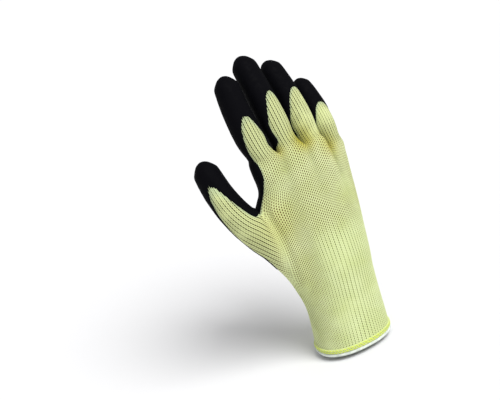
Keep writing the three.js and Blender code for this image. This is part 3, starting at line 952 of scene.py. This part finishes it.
# %% Overlock band
STITCHES = 56
THREAD = 0.42
THREAD_SIDES = 6
THREAD_STEPS = 8
THREAD_RISE = 0.25
TAPE_RELIEF = 0.05
TAPE_LIFT, TAPE_BEVEL = 0.1, 0.2
LOOPERS = [(0, 0.5, 0.5, 0.15), (0.5, 0.5, 0.5, 0.15)]
LOOPER_SHADE = 0.1
ROWS = [(0.25, 0.2, 0.08, 0.35), (0.75, 0.8, 0.08, 0.35)]


def thread_path(phase, middle, sway, dive):
    """Points of a thread that sways up and down the band and dives under the others, once a stitch."""
    low = HEM_HEIGHT + CLEARANCE + THREAD
    high = HEM_HEIGHT + CLEARANCE + BAND_HEIGHT - THREAD
    count = STITCHES * THREAD_STEPS
    points = []
    for n in range(count):
        beat = 2 * math.pi * (n / THREAD_STEPS + phase)
        z = mix(low, high, middle + sway * math.sin(beat))
        points.append(mouth_point(n / count, BAND_WALL + THREAD_RISE + dive * math.cos(beat), z))
    return points


def thread_ring(bm, points, radius, shade):
    """A closed tube along points, grown ring by ring and closed on itself."""
    bright = bm.verts.layers.float["bright"]
    first, ring = None, None
    count = len(points)
    for n, point in enumerate(points):
        ahead = (points[(n + 1) % count] - points[n - 1]).normalized()
        side = ahead.cross(Vector((point.x, point.y, 0))).normalized()
        away = side.cross(ahead)
        places = []
        for k in range(THREAD_SIDES):
            angle = k / THREAD_SIDES * 2 * math.pi
            places.append(point + side * math.cos(angle) * radius + away * math.sin(angle) * radius)
        uv_row = wale_row(0, 1 / THREAD_SIDES, THREAD_SIDES, n / THREAD_STEPS)
        ring = raise_ring(bm, ring, places, uv_row, uv_row) if ring else start_ring(bm, places)
        for vert in ring:
            vert[bright] = shade
        first = first or ring
    bmesh.ops.bridge_loops(bm, edges=ring_edges(bm, first) + ring_edges(bm, ring))


tape_low = HEM_HEIGHT + CLEARANCE
tape_high = tape_low + BAND_HEIGHT
tape_section = [(TAPE_LIFT, tape_low), (TAPE_LIFT, tape_high),
                (BAND_WALL, tape_high - TAPE_BEVEL), (BAND_WALL, tape_low + TAPE_BEVEL)]
band = ring_piece(tape_section, TAPE_RELIEF, STITCHES)
band.verts.layers.float.new("bright")
for shade, paths in ((LOOPER_SHADE, LOOPERS), (1, ROWS)):
    for path in paths:
        thread_ring(band, thread_path(*path), THREAD, shade)
bmesh.ops.recalc_face_normals(band, faces=band.faces)
band_piece = finish_piece(band, "overlock_threads", ["overlock_band"])

# %% [markdown]
# ## Finishes
# The knit's colour changes with the stitches: painted shade darkens the gaps between the wales, and the
# crowns of the legs keep the yarn's own colour. Both knits share one node group that turns knit coordinates
# into a height and a gap mask, and every finish shares a group of soft blotches that keeps large areas from
# looking flat.

# %% Node helpers
def linear(red, green, blue):
    """A screen colour from 0 to 255 as the linear colour that shaders take."""
    shares = [v / 255 for v in (red, green, blue)]
    return (*(((s + 0.055) / 1.055) ** 2.4 if s > 0.04 else s / 12.92 for s in shares), 1)


def wire(tree, socket, value):
    if isinstance(value, bpy.types.NodeSocket):
        tree.links.new(value, socket)
    else:
        socket.default_value = value


def calc(tree, operation, *values, clamp=False):
    node = tree.nodes.new("ShaderNodeMath")
    node.operation = operation
    node.use_clamp = clamp
    for socket, value in zip(node.inputs, values):
        wire(tree, socket, value)
    return node.outputs[0]


def ramp(tree, value, low, high, to_low=0.0, to_high=1.0):
    node = tree.nodes.new("ShaderNodeMapRange")
    node.interpolation_type = "SMOOTHSTEP"
    for socket, given in zip(node.inputs, (value, low, high, to_low, to_high)):
        wire(tree, socket, given)
    return node.outputs["Result"]


def blend_colour(tree, share, first, second):
    node = tree.nodes.new("ShaderNodeMix")
    node.data_type = "RGBA"
    wire(tree, node.inputs["Factor"], share)
    wire(tree, node.inputs["A"], first)
    wire(tree, node.inputs["B"], second)
    return node.outputs["Result"]


def set_bump(tree, shader, height, strength, distance):
    """Bend the light on a finish as if its surface had this height, in millimetres."""
    bump = tree.nodes.new("ShaderNodeBump")
    bump.inputs["Strength"].default_value = strength
    bump.inputs["Distance"].default_value = distance * MM
    wire(tree, bump.inputs["Height"], height)
    wire(tree, shader.inputs["Normal"], bump.outputs["Normal"])


def new_group(name, inputs, outputs):
    tree = bpy.data.node_groups.new(name, "ShaderNodeTree")
    for title, default in inputs.items():
        socket = tree.interface.new_socket(title, in_out="INPUT", socket_type="NodeSocketFloat")
        socket.default_value = default
    for title in outputs:
        tree.interface.new_socket(title, in_out="OUTPUT", socket_type="NodeSocketFloat")
    return tree, tree.nodes.new("NodeGroupInput").outputs, tree.nodes.new("NodeGroupOutput").inputs


def place_group(tree, group, **values):
    node = tree.nodes.new("ShaderNodeGroup")
    node.node_tree = group
    for title, value in values.items():
        wire(tree, node.inputs[title], value)
    return node.outputs


# %% [markdown]
# The first group draws one stitch for each whole step of its two coordinates. Across a wale, the yarn is
# high in the middle and low in the gap. Along it, each stitch is a V, whose legs rise towards the sides.
# The gap shows as a line or as a row of dots, which are staggered from one wale to the next. The second
# group makes blotches.

# %% Stitch group
GAP_REACH = (0.15, 0.75)
WIDER = 0.22
HOLE = (0.65, 0.6)


def build_stitches():
    given_names = {"Wale": 0, "Course": 0, "Dots": 0.6, "Rib": 0, "Wide": 0}
    tree, given, made = new_group("stitches", given_names, ["Height", "Gap"])

    def op(operation, *values, clamp=False):
        return calc(tree, operation, *values, clamp=clamp)

    centred = op("SUBTRACT", op("FRACT", given["Wale"]), 0.5)
    across = op("MULTIPLY", op("ABSOLUTE", centred), 2)
    leg = op("SUBTRACT", given["Course"], op("MULTIPLY", across, 0.5))
    turn = op("MULTIPLY", leg, 2 * math.pi)
    beat = op("MULTIPLY_ADD", op("COSINE", turn), 0.5, 0.5)
    ridge = op("SUBTRACT", 1, op("POWER", across, RIDGE_POWER))
    crown = op("MULTIPLY_ADD", beat, 0.5, 0.5)
    wire(tree, made["Height"], op("MULTIPLY", ridge, crown))
    half_turn = op("MULTIPLY", given["Wale"], math.pi)
    odd = op("MULTIPLY_ADD", op("COSINE", half_turn), -0.5, 0.5)
    closed = op("MULTIPLY", op("MULTIPLY", odd, given["Rib"]), CLOSED_GAP)
    open_gap = op("SUBTRACT", 1, closed)
    low, high = (op("MULTIPLY_ADD", given["Wide"], -WIDER, reach) for reach in GAP_REACH)
    between = op("MULTIPLY", ramp(tree, across, low, high), open_gap)
    stagger = op("MULTIPLY_ADD", op("ROUND", given["Wale"]), 0.5, given["Course"])
    wave = op("COSINE", op("MULTIPLY", stagger, 2 * math.pi))
    hole = op("MULTIPLY_ADD", wave, *HOLE, clamp=True)
    dotted = op("MULTIPLY_ADD", hole, given["Dots"], op("SUBTRACT", 1, given["Dots"]))
    wire(tree, made["Gap"], op("MULTIPLY", between, dotted, clamp=True))
    return tree


def build_blotches():
    tree, given, made = new_group("blotches", {"Size": 12.0, "Amount": 1.0}, ["Value"])
    texture = tree.nodes.new("ShaderNodeTexNoise")
    coordinates = tree.nodes.new("ShaderNodeTexCoord")
    tree.links.new(coordinates.outputs["Object"], texture.inputs["Vector"])
    wire(tree, texture.inputs["Scale"], calc(tree, "DIVIDE", 1000, given["Size"]))
    texture.inputs["Detail"].default_value = 3
    centred = calc(tree, "SUBTRACT", texture.outputs["Fac"], 0.5)
    wire(tree, made["Value"], calc(tree, "MULTIPLY_ADD", centred, given["Amount"], 0.5, clamp=True))
    return tree


stitches = build_stitches()
blotches = build_blotches()
print("groups:", stitches.name, "and", blotches.name)

# %% [markdown]
# A knit finish reads its knit coordinates from the UV map. The yarn has a soft sheen at grazing angles from
# its loose fibres, and hardly any gloss. Painted shade darkens its gaps: warm dots on the back of the hand,
# darker lines on the digits, and greener between the ribs of the wrist.

# %% Knit finishes
def new_material(name):
    material = bpy.data.materials.new(name)
    material.use_nodes = True
    tree = material.node_tree
    shader = tree.nodes["Principled BSDF"]
    return material, tree, shader


def attribute(tree, name):
    node = tree.nodes.new("ShaderNodeAttribute")
    node.attribute_name = name
    return node.outputs["Fac"]


def spots(tree, size, amount):
    """Soft blotches of a size in millimetres, from 0 to 1."""
    return place_group(tree, blotches, Size=size, Amount=amount)["Value"]


def knit_finish(name):
    material, tree, shader = new_material(name)
    coordinates = tree.nodes.new("ShaderNodeUVMap")
    coordinates.uv_map = "knit"
    split = tree.nodes.new("ShaderNodeSeparateXYZ")
    tree.links.new(coordinates.outputs["UV"], split.inputs["Vector"])
    rib, paired, digit = (attribute(tree, title) for title in ("rib", "paired", "lines"))
    dots = ramp(tree, digit, 0.0, 1.0, DOTS_HAND, DOTS_DIGIT)
    wale, course = split.outputs["X"], split.outputs["Y"]
    stitch = place_group(tree, stitches, Wale=wale, Course=course, Dots=dots, Rib=paired, Wide=digit)
    patches, fibres = spots(tree, *YARN_PATCHES), spots(tree, *YARN_FIBRES)
    yarn = blend_colour(tree, patches, YARN_LIGHT, YARN_DEEP)
    # Painted light: the digits are painted paler, standing in for the stronger light on them.
    yarn = blend_colour(tree, digit, yarn, YARN_DIGIT_PAINTED_LIGHT)
    # Painted shade: the crotches and the thumb web turn warm and dark.
    yarn = blend_colour(tree, attribute(tree, "crotch_shade"), yarn, YARN_CROTCH_SHADE)
    yarn = blend_colour(tree, calc(tree, "MULTIPLY", attribute(tree, "edge"), EDGE_TINT), yarn, YARN_MINT)
    # Painted shade: the colours of the gaps between the wales.
    gap_shade = blend_colour(tree, rib, GAP_SHADE_PLAIN, GAP_SHADE_RIB)
    gap_shade = blend_colour(tree, digit, gap_shade, GAP_SHADE_DIGIT)
    worn = ramp(tree, spots(tree, *WORN_PATCHES), *WORN_RANGE, *WORN_DEPTH)
    seam = calc(tree, "POWER", attribute(tree, "seam"), SEAM_POWER)
    calm = calc(tree, "MULTIPLY_ADD", seam, -SEAM_CALM, 1, clamp=True)
    depth = calc(tree, "MULTIPLY", worn, calm)
    # Painted shade: the gap mask darkens the yarn, less in worn patches and at the thumb seam.
    yarn = blend_colour(tree, calc(tree, "MULTIPLY", stitch["Gap"], depth), yarn, gap_shade)
    wire(tree, shader.inputs["Base Color"], yarn)
    wire(tree, shader.inputs["Roughness"], ramp(tree, fibres, 0.0, 1.0, *YARN_ROUGH))
    set_bump(tree, shader, calc(tree, "MULTIPLY_ADD", fibres, FIBRE_HEIGHT, stitch["Height"]), *YARN_BUMP)
    shader.inputs["Sheen Weight"].default_value = YARN_SHEEN
    shader.inputs["Sheen Roughness"].default_value = SHEEN_ROUGH
    shader.inputs["Specular IOR Level"].default_value = YARN_GLOSS
    return material


YARN_LIGHT, YARN_DEEP = linear(220, 230, 178), linear(202, 213, 146)
# Painted light: the paler yarn colour of the digits.
YARN_DIGIT_PAINTED_LIGHT = linear(234, 243, 176)
# The first colour is painted warm shade for the crotches and the thumb web; the second tints the knit near
# the latex.
YARN_CROTCH_SHADE, YARN_MINT = linear(188, 180, 34), linear(196, 216, 176)
# Colours of the painted shade in the gaps: plain, on the digits, between the ribs.
GAP_SHADE_PLAIN, GAP_SHADE_DIGIT, GAP_SHADE_RIB = linear(86, 46, 2), linear(48, 42, 0), linear(84, 94, 0)
EDGE_TINT = 0.6
DOTS_HAND, DOTS_DIGIT = 0.95, 0.35
YARN_PATCHES, YARN_FIBRES, WORN_PATCHES = (22, 1.6), (0.9, 1.2), (30, 2.4)
WORN_RANGE, WORN_DEPTH = (0.1, 0.5), (0.6, 1)
YARN_ROUGH, YARN_BUMP, FIBRE_HEIGHT = (0.85, 1), (0.6, 0.25), 0.3
YARN_SHEEN, SHEEN_ROUGH, YARN_GLOSS = 0.1, 0.5, 0.1
for piece, name in ((shell_piece, "shell_knit"), (cuff_piece, "rib_knit")):
    piece.data.materials.append(knit_finish(name))
    print(piece.name, "is finished in", name)

# %% [markdown]
# The latex is matte: tiny crinkles in its surface scatter the light. Two sizes of bump stand for the
# crinkle and for the weave that shows through the film.

# %% Latex finish
LATEX_DARK, LATEX_LIGHT = linear(5, 5, 8), linear(9, 9, 13)
LATEX_COARSE, LATEX_FINE = (2.6, 1.5), (0.7, 1.5)
LATEX_RANGE, LATEX_ROUGH = (0.2, 0.8), (0.6, 0.8)
LATEX_BUMP, LATEX_GLOSS, FINE_HEIGHT = (0.5, 0.2), 0.04, 0.5


def latex_finish():
    material, tree, shader = new_material("latex")
    coarse, fine = spots(tree, *LATEX_COARSE), spots(tree, *LATEX_FINE)
    wire(tree, shader.inputs["Base Color"], blend_colour(tree, coarse, LATEX_DARK, LATEX_LIGHT))
    wire(tree, shader.inputs["Roughness"], ramp(tree, coarse, *LATEX_RANGE, *LATEX_ROUGH))
    set_bump(tree, shader, calc(tree, "MULTIPLY_ADD", fine, FINE_HEIGHT, coarse), *LATEX_BUMP)
    shader.inputs["Specular IOR Level"].default_value = LATEX_GLOSS
    return material


latex_piece.data.materials.append(latex_finish())
print(latex_piece.name, "is finished in latex")

# %% [markdown]
# Both threads are a little uneven in colour and fuzzy. The band's looper threads are pale like the yarn,
# and the rows of straight stitches in it are bright, as the attribute on their tubes says.

# %% Thread finish
THREAD_PATCHES, THREAD_FIBRES = (3, 1.8), (0.5, 1.5)
THREAD_ROUGH, THREAD_BUMP, THREAD_SHEEN = (0.7, 0.9), (0.5, 0.1), 0.2
HEM_LIGHT, HEM_DEEP = linear(236, 242, 236), linear(180, 190, 182)
BAND_LIGHT, BAND_DEEP, BAND_BRIGHT = linear(216, 226, 164), linear(204, 214, 140), linear(208, 224, 52)


def thread_finish(name, light, deep, bright):
    material, tree, shader = new_material(name)
    patches, fibres = spots(tree, *THREAD_PATCHES), spots(tree, *THREAD_FIBRES)
    thread = blend_colour(tree, patches, light, deep)
    wire(tree, shader.inputs["Base Color"], blend_colour(tree, attribute(tree, "bright"), thread, bright))
    set_bump(tree, shader, fibres, *THREAD_BUMP)
    wire(tree, shader.inputs["Roughness"], ramp(tree, fibres, 0.0, 1.0, *THREAD_ROUGH))
    shader.inputs["Sheen Weight"].default_value = THREAD_SHEEN
    return material


hem_piece.data.materials.append(thread_finish("hem_thread", HEM_LIGHT, HEM_DEEP, HEM_LIGHT))
band_piece.data.materials.append(thread_finish("overlock_thread", BAND_LIGHT, BAND_DEEP, BAND_BRIGHT))
print(hem_piece.name, "and", band_piece.name, "are finished in thread")

# %% [markdown]
# ## Stage, camera and light
# A pale floor lies a few millimetres under the glove. It's far wider than the picture, so no edge shows.

# %% Stage
FLOOR_GAP = 4
FLOOR_SIZE = 8000
FLOOR_COLOUR, FLOOR_ROUGH = (0.86, 0.86, 0.87, 1), 0.9


def build_floor():
    bm = bmesh.new()
    bmesh.ops.create_grid(bm, x_segments=1, y_segments=1, size=FLOOR_SIZE / 2 * MM)
    bmesh.ops.translate(bm, vec=(0, 0, -FLOOR_GAP * MM), verts=bm.verts)
    mesh = bpy.data.meshes.new("floor")
    bm.to_mesh(mesh)
    bm.free()
    floor = link_object("floor", mesh)
    material, tree, shader = new_material("floor")
    shader.inputs["Base Color"].default_value = FLOOR_COLOUR
    shader.inputs["Roughness"].default_value = FLOOR_ROUGH
    mesh.materials.append(material)


build_floor()
print("floor", FLOOR_GAP, "mm below the glove")

# %% [markdown]
# The camera looks at the back of the hand from a little above, and is rolled so that the glove leans. It
# stands far off, which keeps the fingers from looking larger than the cuff. The lens and the shift follow
# from where one point of the glove should fall in the picture, and from how many pixels a millimetre takes
# there.

# %% Camera
AIM = Vector((0, 0, 125))
DISTANCE = 1000
AZIMUTH, ELEVATION, ROLL = -25, 22, 14.5
PIXELS_WIDE, PIXELS_HIGH = 500, 400
PIXELS_PER_MM = 1.266
AIM_PIXEL = (318.5, 202)
SENSOR = 36


def build_camera():
    a, e, r = map(math.radians, (AZIMUTH, ELEVATION, ROLL))
    back = Vector((math.sin(a) * math.cos(e), -math.cos(a) * math.cos(e), math.sin(e)))
    right = Vector((math.cos(a), math.sin(a), 0))
    up = back.cross(right)
    across = right * math.cos(r) - up * math.sin(r)
    upward = right * math.sin(r) + up * math.cos(r)
    data = bpy.data.cameras.new("camera")
    data.sensor_width = SENSOR
    data.lens = PIXELS_PER_MM * DISTANCE * SENSOR / PIXELS_WIDE
    data.shift_x = (PIXELS_WIDE / 2 - AIM_PIXEL[0]) / PIXELS_WIDE
    data.shift_y = (AIM_PIXEL[1] - PIXELS_HIGH / 2) / PIXELS_WIDE
    camera = link_object("camera", data)
    turn = Matrix((across, upward, back)).transposed().to_4x4()
    camera.matrix_world = Matrix.Translation((AIM + back * DISTANCE) * MM) @ turn
    bpy.context.scene.camera = camera
    print("camera with a lens of", round(data.lens), "mm")


build_camera()

# %% [markdown]
# One very wide sun stands for a large soft box above the back of the hand, so the shadow on the floor has a
# soft edge. A white sky fills the shaded sides, and the light floor sends more up from below.

# %% Light
SUN_FROM = Vector((0.24, -0.7, 1))
SUN_STRENGTH, SUN_SPREAD = 2.75, 35
SKY_STRENGTH = 0.5
WHITE = (1, 1, 1, 1)

sun = bpy.data.lights.new("sun", "SUN")
sun.energy = SUN_STRENGTH
sun.angle = math.radians(SUN_SPREAD)
link_object("sun", sun).matrix_world = SUN_FROM.to_track_quat("Z", "Y").to_matrix().to_4x4()
world = bpy.data.worlds.new("studio")
world.use_nodes = True
sky = world.node_tree.nodes["Background"].inputs
sky["Color"].default_value = WHITE
sky["Strength"].default_value = SKY_STRENGTH
bpy.context.scene.world = world
bpy.context.scene.view_settings.view_transform = "Standard"
print("lit by a sun", SUN_SPREAD, "degrees wide and a white sky")
